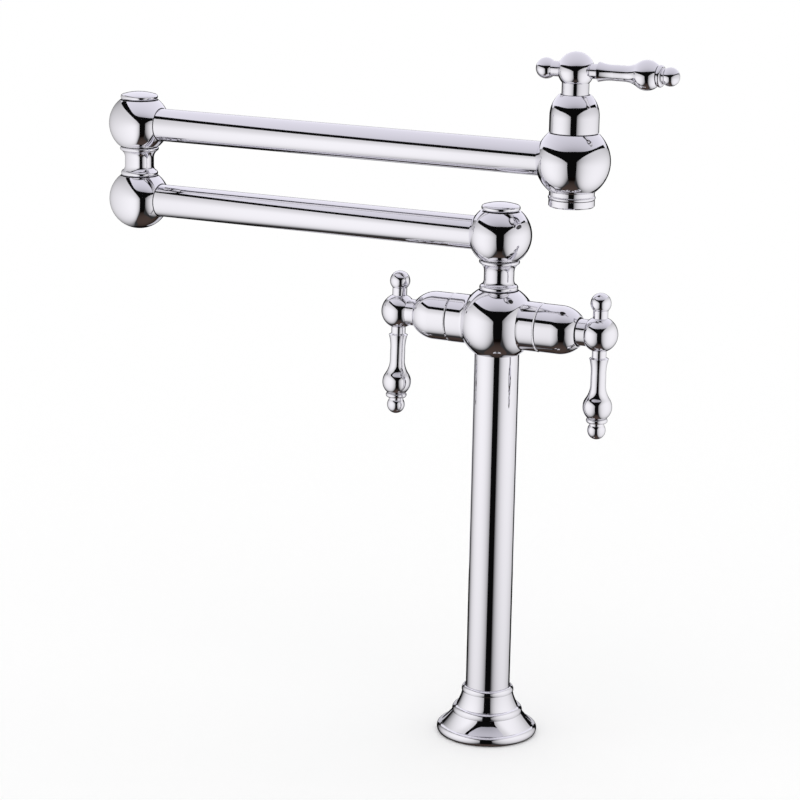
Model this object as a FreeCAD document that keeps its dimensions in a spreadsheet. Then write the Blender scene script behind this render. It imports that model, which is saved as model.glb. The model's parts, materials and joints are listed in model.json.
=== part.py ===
import FreeCAD, Part
import Sketcher
import math
import os

# Deck-mounted pot filler: a two-handle valve on a riser, and a double-jointed arm with a
# shut-off valve at the spout. The origin is on the riser's axis at the deck face, +Z is up,
# +X points to the cold handle and -Y to the front. The arm is folded as a Z: its lower half
# runs to -X and its upper half comes back over it.

# Driving sizes in millimetres, and one resting turn in degrees
SIZES = {
    # Gaps: fixed fits, turning fits, faces that pass each other, flat faces that slide, trim seams
    "fit_gap": 0.05,
    "run_gap": 0.08,
    "face_gap": 0.3,
    "lap_gap": 0.05,
    "seam_gap": 0.1,
    # Layout
    "body_height": 281.5,
    "lower_arm_reach": 272.5,
    "upper_arm_reach": 321.5,
    # Tubes
    "riser_dia": 29.5,
    "riser_wall": 1.5,
    "arm_dia": 22.0,
    "arm_wall": 1.2,
    "arm_inset": 13.0,
    "spout_arm_inset": 15.0,
    "socket_rim_width": 0.45,
    "socket_rim_depth": 0.5,
    "water_bore_dia": 11.0,
    # Deck flange
    "flange_dia": 67.2,
    "rim_height": 6.2,
    "rim_round": 1.7,
    "rim_swell": 2.45,
    "lower_flare_foot_dia": 60.8,
    "lower_flare_height": 8.4,
    "lower_flare_top_dia": 46.2,
    "lower_flare_hollow": 0.3,
    "lower_bead_dia": 47.0,
    "lower_bead_height": 4.3,
    "lower_bead_swell": 1.1,
    "upper_flare_foot_dia": 41.2,
    "upper_flare_height": 10.0,
    "upper_flare_top_dia": 33.8,
    "upper_flare_hollow": 0.45,
    "upper_bead_dia": 34.6,
    "upper_bead_height": 3.8,
    "upper_bead_top_dia": 31.0,
    "upper_bead_swell": 0.85,
    "riser_foot_height": 4.0,
    "gasket_inset": 3.1,
    "gasket_width": 11.0,
    "gasket_thickness": 1.5,
    # Shank and clamp under the deck
    "shank_spigot_length": 26.0,
    "shank_dia": 26.0,
    "shank_plain_length": 24.0,
    "shank_thread_dia": 25.0,
    "shank_thread_length": 26.0,
    "shank_bore_dia": 21.0,
    "thread_bevel": 1.0,
    "clamp_gap": 30.0,
    "washer_dia": 48.0,
    "rubber_washer_thickness": 3.0,
    "clamp_washer_thickness": 2.0,
    "nut_across": 36.0,
    "nut_height": 9.0,
    # Supply tubes inside the riser
    "supply_dia": 8.0,
    "supply_wall": 1.0,
    "supply_offset": 5.4,
    "supply_tail": 24.0,
    "stop_ring_dia": 9.6,
    "stop_ring_height": 1.5,
    "stop_ring_gap": 2.5,
    # Valve body
    "body_ball_dia": 50.5,
    "boss_dia": 32.2,
    "boss_reach": 31.6,
    "boss_bevel": 0.8,
    "boss_root_inset": 1.8,
    "boss_root_length": 3.2,
    "boss_root_rise": 1.2,
    "boss_root_hollow": 0.3,
    "riser_socket_depth": 6.5,
    "riser_socket_rim": 0.3,
    "supply_socket_depth": 2.5,
    "feed_dia": 6.0,
    "outlet_depth": 8.0,
    "gallery_dia": 3.6,
    "gallery_height": 8.3,
    "seat_passage_dia": 8.0,
    "seat_passage_length": 10.0,
    # Swivel joints
    "swivel_ball_dia": 41.4,
    "swivel_flat_dia": 26.5,
    "swivel_groove_height": 0.8,
    "swivel_groove_inset": 1.2,
    "neck_height": 20.0,
    "neck_lower_bead_dia": 25.4,
    "neck_upper_bead_dia": 26.6,
    "neck_lower_bead_height": 3.8,
    "neck_lower_bead_round": 1.2,
    "neck_upper_bead_height": 2.3,
    "neck_upper_bead_round": 0.55,
    "neck_waist_dia": 19.8,
    "neck_lower_flare": 1.3,
    "neck_lower_flare_length": 3.2,
    "neck_lower_flare_hollow": 0.33,
    "neck_upper_flare": 2.75,
    "neck_upper_flare_length": 5.2,
    "neck_upper_flare_hollow": 0.72,
    "neck_tenon_dia": 16.0,
    "neck_tenon_length": 8.0,
    "spigot_dia": 17.0,
    "spigot_rise": 0.2,
    "port_dia": 5.0,
    "port_drop": 1.5,
    "water_bore_rise": 1.0,
    "chamber_dia": 22.0,
    "chamber_height": 9.0,
    "ball_passage_dia": 8.0,
    "ledge_depth": 6.6,
    "counterbore_dia": 20.0,
    "oring_section": 1.4,
    "oring_side_room": 0.2,
    "lower_oring_inset": 5.4,
    "upper_oring_inset": 2.3,
    "thrust_washer_dia": 23.0,
    "thrust_recess_depth": 0.9,
    "retainer_flange_dia": 19.0,
    "retainer_flange_height": 1.2,
    "retainer_head_dia": 11.0,
    "retainer_head_height": 3.0,
    "retainer_key_across": 5.0,
    "retainer_key_depth": 2.2,
    "retainer_thread_dia": 5.0,
    "retainer_thread_length": 6.0,
    "retainer_hole_depth": 7.0,
    "cap_dia": 25.4,
    "cap_foot_inset": 1.7,
    "cap_side_swell": 0.45,
    "cap_edge_height": 2.2,
    "cap_edge_round": 1.8,
    "cap_shoulder_inset": 1.24,
    "cap_shoulder_rise": 1.71,
    "cap_dome_rise": 1.81,
    "cap_plug_length": 1.9,
    # Bonnets and quarter-turn cartridges
    "bonnet_dia": 31.8,
    "bonnet_length": 25.9,
    "spout_bonnet_length": 24.5,
    "bonnet_shoulder": 13.5,
    "bonnet_end_dia": 20.4,
    "bonnet_hole_dia": 19.2,
    "bonnet_wall": 2.7,
    "bonnet_bevel": 0.8,
    "bonnet_tenon_dia": 26.0,
    "bonnet_tenon_length": 5.0,
    "bonnet_tenon_wall": 1.8,
    "cartridge_nose_dia": 16.8,
    "cartridge_nose_length": 10.0,
    "cartridge_nose_wall": 1.3,
    "cartridge_thread_dia": 20.9,
    "cartridge_thread_length": 3.0,
    "cartridge_flange_dia": 22.0,
    "cartridge_flange_height": 3.0,
    "cartridge_hex_across": 17.0,
    "cartridge_hex_height": 8.0,
    "cartridge_tower_dia": 14.4,
    "cartridge_tower_length": 10.0,
    "window_dia": 3.4,
    "window_inset": 5.6,
    "nose_end_gap": 1.0,
    "seal_thickness": 1.8,
    "seal_bore_dia": 8.4,
    "fixed_disc_thickness": 3.0,
    "moving_disc_thickness": 2.75,
    "disc_port_dia": 3.6,
    "disc_port_offset": 3.6,
    "stem_dia": 8.0,
    "stem_head_height": 1.75,
    "tongue_width": 3.0,
    "tongue_length": 7.0,
    "tongue_height": 1.2,
    # Handles
    "hub_ball_dia": 23.5,
    "hub_collar_dia": 17.4,
    "side_hub_reach": 14.2,
    "spout_hub_reach": 15.4,
    "collar_insert": 1.0,
    "stem_end_gap": 1.0,
    "stem_bore_room": 0.5,
    "handle_seat": 10.4,
    "handle_tenon_dia": 6.0,
    "handle_tenon_length": 5.1,
    "set_screw_dia": 3.9,
    "set_screw_inset": 11.3,
    "set_screw_sink": 0.5,
    "set_screw_key_across": 2.0,
    "set_screw_key_depth": 1.8,
    "finial_neck_dia": 9.7,
    "finial_reach": 20.3,
    "finial_ball_dia": 13.4,
    "lever_neck_dia": 9.4,
    "lever_neck_length": 4.6,
    "lever_flare_length": 0.9,
    "lever_collar_dia": 12.6,
    "lever_taper_length": 11.1,
    "lever_taper_hollow": 0.5,
    "lever_waist_dia": 10.0,
    "lever_waist_length": 6.2,
    "lever_cove_radius": 16.0,
    "lever_bulb_dia": 19.2,
    "lever_bulb_end": 7.2,
    "lever_bead_dia": 14.0,
    "lever_bead_length": 3.4,
    "lever_bead_round": 1.4,
    "lever_tip_neck_dia": 9.8,
    "lever_tip_reach": 4.9,
    "lever_tip_ball_dia": 11.9,
    "hot_rest_turn": -2.0,
    # Spout
    "spout_ball_dia": 48.2,
    "spout_top_flat_dia": 32.0,
    "spout_bottom_flat_dia": 29.4,
    "spout_inlet_dia": 7.0,
    "spout_inlet_rise": 3.0,
    "nozzle_tenon_dia": 21.0,
    "nozzle_tenon_length": 8.0,
    "nozzle_bore_dia": 17.0,
    "nozzle_band_dia": 29.2,
    "nozzle_band_height": 2.6,
    "nozzle_bead_dia": 30.4,
    "nozzle_bead_height": 2.5,
    "nozzle_bead_round": 0.7,
    "nozzle_male_dia": 24.0,
    "nozzle_male_length": 1.8,
    "aerator_dia": 29.6,
    "aerator_bevel": 0.8,
    "aerator_lip_height": 0.8,
    "aerator_lip_width": 1.2,
    "aerator_washer_thickness": 0.8,
    "aerator_washer_width": 2.4,
    "aerator_insert_thickness": 1.4,
    "aerator_hole_dia": 1.6,
    "aerator_outer_ring_dia": 18.0,
    "aerator_inner_ring_dia": 9.0,
}
OUTER_AERATOR_HOLES = 16
INNER_AERATOR_HOLES = 8
SHEET = "dims"


class Size:
    """A length worked out from the sheet: its value, and the expression that keeps it true."""

    def __init__(self, value, text):
        self.value = value
        self.text = text

    def __add__(self, other):
        other = as_size(other)
        return Size(self.value + other.value, f"({self.text} + {other.text})")

    def __sub__(self, other):
        other = as_size(other)
        return Size(self.value - other.value, f"({self.text} - {other.text})")

    def __mul__(self, other):
        other = as_size(other)
        return Size(self.value * other.value, f"({self.text} * {other.text})")

    def __truediv__(self, other):
        other = as_size(other)
        return Size(self.value / other.value, f"({self.text} / {other.text})")

    def __neg__(self):
        return Size(-self.value, f"(0 - {self.text})")


def as_size(number):
    if isinstance(number, Size):
        return number
    return Size(number, repr(number))


def root(size):
    return Size(math.sqrt(size.value), f"sqrt({size.text})")


def leg(hypotenuse, other_leg):
    """The other side of a right triangle, such as how far out a ball has a given radius."""
    return root(hypotenuse * hypotenuse - other_leg * other_leg)


class Dims:
    """Every driving size by its name."""


d = Dims()
for name, value in SIZES.items():
    setattr(d, name, Size(value, f"{SHEET}.{name}"))

doc = FreeCAD.newDocument("pot_filler")
sheet = doc.addObject("Spreadsheet::Sheet", SHEET)
for row, (name, value) in enumerate(SIZES.items(), 1):
    sheet.set(f"A{row}", name)
    sheet.set(f"B{row}", str(value))
    sheet.setAlias(f"B{row}", name)
doc.recompute()

pieces = []


def new_body(label):
    body = doc.addObject("PartDesign::Body", label)
    body.Label = label
    return body


def new_piece(label):
    body = new_body(label)
    pieces.append(body)
    return body


def group(label, members):
    """Several like solids that share one node."""
    compound = doc.addObject("Part::Compound", label)
    compound.Label = label
    compound.Links = members
    pieces.append(compound)


def move(thing, x=0, z=0):
    for letter, distance in (("x", x), ("z", z)):
        if isinstance(distance, Size):
            thing.setExpression(f"Placement.Base.{letter}", distance.text)


def turn(thing, axis, degrees):
    thing.Placement.Rotation = FreeCAD.Rotation(axis, degrees.value)
    thing.setExpression("Placement.Rotation.Angle", f"{degrees.text} * 1 deg")


def new_sketch(body, name, role):
    sketch = body.newObject("Sketcher::SketchObject", name)
    planes = [plane for plane in body.Origin.OriginFeatures if plane.Role == role]
    sketch.AttachmentSupport = [(planes[0], "")]
    sketch.MapMode = "FlatFace"
    return sketch


class Arc:
    """A round stretch that ends at a point, given by its radius or by its rise off the chord."""

    def __init__(self, along, radius, bend=None, rise=None, hollow=False):
        self.end = (along, radius)
        self.bend = bend
        self.rise = rise
        self.hollow = hollow

    def solve(self, start):
        """The arc's radius as a size, and the point half way along it."""
        run = as_size(self.end[0]) - as_size(start[0])
        climb = as_size(self.end[1]) - as_size(start[1])
        half_chord = root(run * run + climb * climb) / 2
        if self.bend is None:
            radius = (half_chord * half_chord + self.rise * self.rise) / (self.rise * 2)
            rise = self.rise.value
        else:
            radius = self.bend
            rise = radius.value - math.sqrt(radius.value**2 - half_chord.value**2)
        if self.hollow:
            rise = -rise
        shift = rise / (2 * half_chord.value)
        middle_along = as_size(start[0]).value + run.value / 2 - climb.value * shift
        middle_radius = as_size(start[1]).value + climb.value / 2 + run.value * shift
        return radius, middle_along, middle_radius


def ball(along, radius, bend):
    return Arc(along, radius, bend=bend)


def swell(along, radius, rise):
    return Arc(along, radius, rise=rise)


def cove(along, radius, rise):
    return Arc(along, radius, rise=rise, hollow=True)


def cove_of(along, radius, bend):
    return Arc(along, radius, bend=bend, hollow=True)


def tie_point(rules, edge, end, x, y):
    """Hold one end of an edge at sheet sizes, or on an axis where the coordinate is a bare 0."""
    for kind, axis, distance in (("DistanceX", -2, x), ("DistanceY", -1, y)):
        if isinstance(distance, Size):
            rule = Sketcher.Constraint(kind, -1, 1, edge, end, distance.value)
            rules.append((rule, distance.text))
        else:
            rules.append((Sketcher.Constraint("PointOnObject", edge, end, axis), None))


def bind(sketch, rules):
    """Add the rules in one go, and tie those that have an expression to the sheet."""
    numbers = sketch.addConstraint([rule for rule, _ in rules])
    for number, (_, text) in zip(numbers, rules):
        if text:
            sketch.setExpression(f"Constraints[{number}]", text)


def at(x, y):
    return FreeCAD.Vector(as_size(x).value, as_size(y).value, 0)


def draw(sketch, corners, bends):
    """Draw a closed outline and bind its corners and arcs to the sheet.

    corners are (x, y). bends holds, for each corner, None or the arc that arrives at it, as a
    radius and the point half way.
    """
    edges = []
    rules = []
    points = [at(x, y) for x, y in corners]
    for i, start in enumerate(points):
        j = (i + 1) % len(points)
        if bends[j] is None:
            edge = sketch.addGeometry(Part.LineSegment(start, points[j]))
            edges.append((edge, 1, 2))
            continue
        radius, middle = bends[j]
        edge = sketch.addGeometry(Part.Arc(start, middle, points[j]))
        rules.append((Sketcher.Constraint("Radius", edge, radius.value), radius.text))
        first_end = sketch.getPoint(edge, 1)
        if first_end.distanceToPoint(start) < first_end.distanceToPoint(points[j]):
            edges.append((edge, 1, 2))
        else:
            edges.append((edge, 2, 1))
    for i, (edge, first, last) in enumerate(edges):
        following, joined, _ = edges[(i + 1) % len(edges)]
        rules.append((Sketcher.Constraint("Coincident", edge, last, following, joined), None))
        tie_point(rules, edge, first, *corners[i])
    bind(sketch, rules)


def draw_polygon(sketch, corners):
    draw(sketch, corners, [None] * len(corners))


def draw_circle(sketch, centre, radius):
    circle = sketch.addGeometry(Part.Circle(at(*centre), FreeCAD.Vector(0, 0, 1), radius.value))
    rules = [(Sketcher.Constraint("Radius", circle, radius.value), radius.text)]
    tie_point(rules, circle, 3, *centre)
    bind(sketch, rules)


def draw_offset_axis(sketch, upright, offset):
    """A construction line parallel to one of the sketch's axes."""
    far = Size(10.0, "10")
    ends = [(offset, 0), (offset, far)] if upright else [(0, offset), (far, offset)]
    line = sketch.addGeometry(Part.LineSegment(at(*ends[0]), at(*ends[1])), True)
    rules = []
    tie_point(rules, line, 1, *ends[0])
    tie_point(rules, line, 2, *ends[1])
    bind(sketch, rules)


def spin(body, name, axis, outline, cut=False, offset=None, sideways=False):
    """Turn an outline about an axis through the body's own origin, or beside it at an offset.

    The outline's points are (along, radius), with the material on the right of the way they run.
    axis is +Z, -Z, +X or -X. The offset is in the XZ plane, or towards +Y when sideways.
    """
    upright = axis[1] == "Z"
    backward = axis[0] == "-"
    role = "XZ_Plane"
    if sideways:
        role = "YZ_Plane" if upright else "XY_Plane"

    def to_sketch(along, radius):
        if backward and along:
            along = -along
        if offset is not None:
            radius = offset + radius
        return (radius, along) if upright else (along, radius)

    sketch = new_sketch(body, name + "_outline", role)
    corners = []
    bends = []
    start = None
    for entry in outline:
        if isinstance(entry, Arc):
            radius, middle_along, middle_radius = entry.solve(start)
            middle = FreeCAD.Vector(*to_sketch(middle_along, middle_radius), 0)
            bends.append((radius, middle))
            start = entry.end
        else:
            bends.append(None)
            start = entry
        corners.append(to_sketch(*start))
    if offset is not None:
        draw_offset_axis(sketch, upright, offset)
    draw(sketch, corners, bends)
    feature = body.newObject("PartDesign::Groove" if cut else "PartDesign::Revolution", name)
    feature.Profile = sketch
    line = "V_Axis" if upright else "H_Axis"
    feature.ReferenceAxis = (sketch, ["Axis0" if offset is not None else line])
    feature.Angle = 360
    return feature


def hole(body, name, axis, start, end, radius, offset=None, sideways=False):
    """A plain round hole from one place along an axis to another."""
    outline = [(start, 0), (start, radius), (end, radius), (end, 0)]
    return spin(body, name, axis, outline, cut=True, offset=offset, sideways=sideways)


def extrude(body, name, sketch, length, backward, cut):
    """Raise or sink a sketch's outline. Forward is along the sketch's own normal."""
    feature = body.newObject("PartDesign::Pocket" if cut else "PartDesign::Pad", name)
    feature.Profile = sketch
    feature.setExpression("Length", length.text)
    feature.Reversed = backward != cut


def prism(body, name, axis, corners, start, length, cut=False):
    """A straight-sided bar or recess along an axis, from start to start + length."""
    backward = axis[0] == "-"
    role = "XY_Plane" if axis[1] == "Z" else "YZ_Plane"
    sketch = new_sketch(body, name + "_outline", role)
    if isinstance(start, Size):
        place = -start if backward else start
        sketch.setExpression("AttachmentOffset.Base.z", place.text)
    draw_polygon(sketch, corners)
    extrude(body, name, sketch, length, backward, cut)


def sketch_facing_rear(body, name, start):
    """A sketch in the XZ plane, set back towards +Y, which is against that plane's normal."""
    sketch = new_sketch(body, name + "_outline", "XZ_Plane")
    if isinstance(start, Size):
        sketch.setExpression("AttachmentOffset.Base.z", (-start).text)
    return sketch


def hexagon(across):
    corner = across / math.sqrt(3)
    half = corner / 2
    flat = across / 2
    return [(corner, 0), (half, flat), (-half, flat), (-corner, 0), (-half, -flat), (half, -flat)]


def rectangle(width, height):
    x = width / 2
    y = height / 2
    return [(-x, -y), (x, -y), (x, y), (-x, y)]


# Sizes that several pieces share
arm_radius = d.arm_dia / 2
flange_edge = d.flange_dia / 2 - d.rim_round
gasket_out = flange_edge - d.gasket_inset
gasket_in = gasket_out - d.gasket_width
riser_radius = d.riser_dia / 2
riser_bore = riser_radius - d.riser_wall
body_radius = d.body_ball_dia / 2
swivel_radius = d.swivel_ball_dia / 2
spout_radius = d.spout_ball_dia / 2
swivel_flat_radius = d.swivel_flat_dia / 2
swivel_flat = leg(swivel_radius, swivel_flat_radius)
body_top = leg(body_radius, swivel_flat_radius)
riser_socket_radius = riser_radius + d.fit_gap
body_bottom_radius = riser_socket_radius + d.riser_socket_rim
body_bottom = leg(body_radius, body_bottom_radius)
spout_top = leg(spout_radius, d.spout_top_flat_dia / 2)
spout_bottom = leg(spout_radius, d.spout_bottom_flat_dia / 2)
shoulder_z = d.body_height + body_top + d.neck_height + d.face_gap + swivel_flat
elbow_z = shoulder_z + swivel_flat * 2 + d.neck_height + d.face_gap
elbow_x = -d.lower_arm_reach
spout_x = d.upper_arm_reach - d.lower_arm_reach
shank_end = d.shank_plain_length + d.shank_thread_length


def deck_flange():
    """The turned foot: a round rim, two hollow flares and two round beads, with a gasket recess."""
    lower_top = d.rim_height + d.lower_flare_height
    upper_foot = lower_top + d.lower_bead_height
    upper_top = upper_foot + d.upper_flare_height
    top = upper_top + d.upper_bead_height
    shank_hole = riser_bore
    outline = [
        (0, gasket_out),
        (0, flange_edge),
        swell(d.rim_height, d.lower_flare_foot_dia / 2, d.rim_swell),
        cove(lower_top, d.lower_flare_top_dia / 2, d.lower_flare_hollow),
        (lower_top, d.lower_bead_dia / 2),
        swell(upper_foot, d.upper_flare_foot_dia / 2, d.lower_bead_swell),
        cove(upper_top, d.upper_flare_top_dia / 2, d.upper_flare_hollow),
        (upper_top, d.upper_bead_dia / 2),
        swell(top, d.upper_bead_top_dia / 2, d.upper_bead_swell),
        (top, riser_socket_radius),
        (d.riser_foot_height, riser_socket_radius),
        (d.riser_foot_height, shank_hole),
        (0, shank_hole),
        (0, gasket_in),
        (d.gasket_thickness, gasket_in),
        (d.gasket_thickness, gasket_out),
    ]
    spin(new_piece("base_flange"), "flange", "+Z", outline)


def washer(label, bottom, thickness, outer, inner, x=0):
    outline = [(0, outer), (thickness, outer), (thickness, inner), (0, inner)]
    piece = new_piece(label)
    spin(piece, label + "_ring", "+Z", outline)
    move(piece, x, bottom)


def deck_mount():
    """What holds the tap to the deck: gasket, shank, washers and lock nut."""
    gasket_rim = gasket_out - d.fit_gap
    gasket_hole = gasket_in + d.fit_gap
    washer("deck_gasket", 0, d.gasket_thickness, gasket_rim, gasket_hole)

    shank = new_piece("mounting_shank")
    spigot = riser_bore - d.fit_gap
    plain = d.shank_dia / 2
    thread = d.shank_thread_dia / 2
    bore = d.shank_bore_dia / 2
    outline = [
        (-shank_end, bore),
        (-shank_end, thread - d.thread_bevel),
        (d.thread_bevel - shank_end, thread),
        (-d.shank_plain_length, thread),
        (-d.shank_plain_length, plain),
        (0, plain),
        (0, spigot),
        (d.shank_spigot_length, spigot),
        (d.shank_spigot_length, bore),
    ]
    spin(shank, "shank", "+Z", outline)

    washer_hole = plain + d.face_gap
    rubber_bottom = -(d.clamp_gap + d.rubber_washer_thickness)
    clamp_bottom = rubber_bottom - d.clamp_washer_thickness
    nut_bottom = clamp_bottom - d.nut_height
    washer_rim = d.washer_dia / 2
    washer("rubber_washer", rubber_bottom, d.rubber_washer_thickness, washer_rim, washer_hole)
    washer("clamp_washer", clamp_bottom, d.clamp_washer_thickness, washer_rim, washer_hole)
    nut = new_piece("lock_nut")
    prism(nut, "nut_hex", "+Z", hexagon(d.nut_across), 0, d.nut_height)
    hole(nut, "nut_thread", "+Z", 0, d.nut_height, thread + d.run_gap)
    move(nut, z=nut_bottom)


def riser():
    tube = new_piece("riser_tube")
    top = d.body_height - body_bottom + d.riser_socket_depth
    outline = [
        (d.riser_foot_height, riser_radius),
        (top, riser_radius),
        (top, riser_bore),
        (d.riser_foot_height, riser_bore),
    ]
    spin(tube, "riser", "+Z", outline)


def supply_tube(label, x):
    """A copper tube from below the deck to the valve body, with a stop ring above its tail."""
    tube = new_piece(label)
    outer = d.supply_dia / 2
    inner = outer - d.supply_wall
    ring_top = -(shank_end + d.stop_ring_gap)
    ring_bottom = ring_top - d.stop_ring_height
    tail = ring_bottom - d.supply_tail
    socket = d.riser_socket_depth + d.supply_socket_depth
    top = d.body_height - body_bottom + socket
    outline = [
        (tail, outer),
        (ring_bottom, outer),
        (ring_bottom, d.stop_ring_dia / 2),
        (ring_top, d.stop_ring_dia / 2),
        (ring_top, outer),
        (top, outer),
        (top, inner),
        (tail, inner),
    ]
    spin(tube, label + "_wall", "+Z", outline)
    move(tube, x=x)


# Depths of a valve pocket, measured inwards from the face that the bonnet stands on
pocket_radius = d.cartridge_thread_dia / 2 + d.fit_gap
counterbore_radius = d.bonnet_tenon_dia / 2 + d.fit_gap
nose_end = d.bonnet_tenon_length + d.cartridge_thread_length + d.cartridge_nose_length
pocket_depth = nose_end + d.nose_end_gap


def valve_pocket(body, name, axis, face):
    """The stepped hole that takes a cartridge and the bonnet's tenon, in from a face."""
    step = face - d.bonnet_tenon_length
    floor = face - pocket_depth
    outline = [
        (floor, 0),
        (floor, pocket_radius),
        (step, pocket_radius),
        (step, counterbore_radius),
        (face, counterbore_radius),
        (face, 0),
    ]
    spin(body, name, axis, outline, cut=True)
    return floor


def valve_body():
    """The ball at the riser's top, with a boss each side, mixing hot and cold to the outlet."""
    body = new_piece("valve_body")
    socket_top = d.riser_socket_depth - body_bottom
    tenon_hole = d.neck_tenon_dia / 2 + d.fit_gap
    tenon_floor = body_top - d.neck_tenon_length
    outline = [
        (-body_bottom, 0),
        (-body_bottom, body_bottom_radius),
        ball(body_top, swivel_flat_radius, body_radius),
        (body_top, 0),
    ]
    spin(body, "ball", "+Z", outline)
    boss = d.boss_dia / 2
    boss_edge = boss - d.boss_bevel
    bevel_start = d.boss_reach - d.boss_bevel
    root = boss + d.boss_root_rise
    root_start = leg(body_radius, boss) - d.boss_root_inset
    root_end = root_start + d.boss_root_length
    bosses = [
        (-d.boss_reach, 0),
        (-d.boss_reach, boss_edge),
        (-bevel_start, boss),
        (-root_end, boss),
        cove(-root_start, root, d.boss_root_hollow),
        (root_start, root),
        cove(root_end, boss, d.boss_root_hollow),
        (bevel_start, boss),
        (d.boss_reach, boss_edge),
        (d.boss_reach, 0),
    ]
    spin(body, "bosses", "+X", bosses)
    hole(body, "riser_socket", "+Z", -body_bottom, socket_top, riser_socket_radius)
    hole(body, "neck_socket", "+Z", tenon_floor, body_top, tenon_hole)
    hole(body, "outlet", "+Z", tenon_floor - d.outlet_depth, tenon_floor, d.water_bore_dia / 2)
    for side, axis, offset in (("hot", "-X", -d.supply_offset), ("cold", "+X", d.supply_offset)):
        floor = valve_pocket(body, side + "_pocket", axis, d.boss_reach)
        seat_passage = d.seat_passage_dia / 2
        hole(body, side + "_seat", axis, floor - d.seat_passage_length, floor, seat_passage)
        supply_top = socket_top + d.supply_socket_depth
        supply_hole = d.supply_dia / 2 + d.fit_gap
        hole(body, side + "_supply", "+Z", socket_top, supply_top, supply_hole, offset)
        hole(body, side + "_feed", "+Z", supply_top, 0, d.feed_dia / 2, offset)
        hole(body, side + "_gallery", axis, 0, floor, d.gallery_dia / 2, d.gallery_height)
    move(body, z=d.body_height)


def bonnet(label, axis, length, x, z):
    """A smooth hollow cover over a cartridge, screwed into its face, rounded in at the far end."""
    piece = new_piece(label)
    outer = d.bonnet_dia / 2
    tenon = d.bonnet_tenon_dia / 2
    tenon_bore = tenon - d.bonnet_tenon_wall
    end = d.bonnet_end_dia / 2
    drop = outer - end
    shoulder = (d.bonnet_shoulder * d.bonnet_shoulder + drop * drop) / (drop * 2)
    inside = shoulder - d.bonnet_wall
    cavity = outer - d.bonnet_wall
    shoulder_start = length - d.bonnet_shoulder
    mouth = d.bonnet_hole_dia / 2
    inside_end = shoulder_start + leg(inside, mouth - outer + shoulder)
    outline = [
        (-d.bonnet_tenon_length, tenon_bore),
        (-d.bonnet_tenon_length, tenon),
        (0, tenon),
        (0, outer - d.bonnet_bevel),
        (d.bonnet_bevel, outer),
        (shoulder_start, outer),
        ball(length, end, shoulder),
        (length, mouth),
        (inside_end, mouth),
        cove_of(shoulder_start, cavity, inside),
        (d.bonnet_wall, cavity),
        (d.bonnet_wall, tenon_bore),
    ]
    spin(piece, label + "_shell", axis, outline)
    move(piece, x, z)


# The stack inside a cartridge's nose, measured outwards from the bonnet's face
nose_bore = d.cartridge_nose_dia / 2 - d.cartridge_nose_wall
seal_bottom = -pocket_depth
seal_top = seal_bottom + d.seal_thickness
fixed_top = seal_top + d.fixed_disc_thickness
moving_bottom = fixed_top + d.lap_gap
moving_top = moving_bottom + d.moving_disc_thickness
head_bottom = moving_top + d.lap_gap
head_top = head_bottom + d.stem_head_height
nose_bore_top = head_top + d.lap_gap


def cartridge(label, axis, x, z):
    """A quarter-turn valve cartridge: threaded nose with a window each side, hexagon and tower."""
    piece = new_piece(label)
    nose = d.cartridge_nose_dia / 2
    thread = d.cartridge_thread_dia / 2
    rim = d.cartridge_flange_dia / 2
    tower = d.cartridge_tower_dia / 2
    thread_start = -(d.bonnet_tenon_length + d.cartridge_thread_length)
    flange_top = d.cartridge_flange_height - d.bonnet_tenon_length
    hex_top = flange_top + d.cartridge_hex_height
    tower_top = hex_top + d.cartridge_tower_length
    outline = [
        (-nose_end, 0),
        (-nose_end, nose),
        (thread_start, nose),
        (thread_start, thread),
        (-d.bonnet_tenon_length, thread),
        (-d.bonnet_tenon_length, rim),
        (flange_top, rim),
        (flange_top, tower),
        (tower_top, tower),
        (tower_top, 0),
    ]
    spin(piece, label + "_outside", axis, outline)
    hexed = hexagon(d.cartridge_hex_across)
    prism(piece, label + "_hex", axis, hexed, flange_top, d.cartridge_hex_height)
    stem_hole = d.stem_dia / 2 + d.run_gap
    inside = [
        (-nose_end, 0),
        (-nose_end, nose_bore),
        (nose_bore_top, nose_bore),
        (nose_bore_top, stem_hole),
        (tower_top, stem_hole),
        (tower_top, 0),
    ]
    spin(piece, label + "_inside", axis, inside, cut=True)
    window = d.window_dia / 2
    window_at = d.window_inset - nose_end
    across = "+X" if axis[1] == "Z" else "+Z"
    if axis[0] == "-":
        window_at = -window_at
    hole(piece, label + "_windows", across, -nose, nose, window, window_at)
    move(piece, x, z)


def seat_seal(body, axis, x, z):
    outer = nose_bore - d.fit_gap
    inner = d.seal_bore_dia / 2
    outline = [(seal_bottom, inner), (seal_bottom, outer), (seal_top, outer), (seal_top, inner)]
    spin(body, body.Label + "_ring", axis, outline)
    move(body, x, z)


def disc(body, axis, bottom, top, radius, sideways):
    """A ceramic disc with two ports, one each side of its centre."""
    outline = [(bottom, 0), (bottom, radius), (top, radius), (top, 0)]
    spin(body, body.Label + "_plate", axis, outline)
    port = d.disc_port_dia / 2
    for side, offset in (("near", d.disc_port_offset), ("far", -d.disc_port_offset)):
        hole(body, f"{body.Label}_{side}_port", axis, bottom, top, port, offset, sideways)


def fixed_disc(body, axis, x, z):
    disc(body, axis, seal_top, fixed_top, nose_bore - d.fit_gap, False)
    move(body, x, z)


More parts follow.
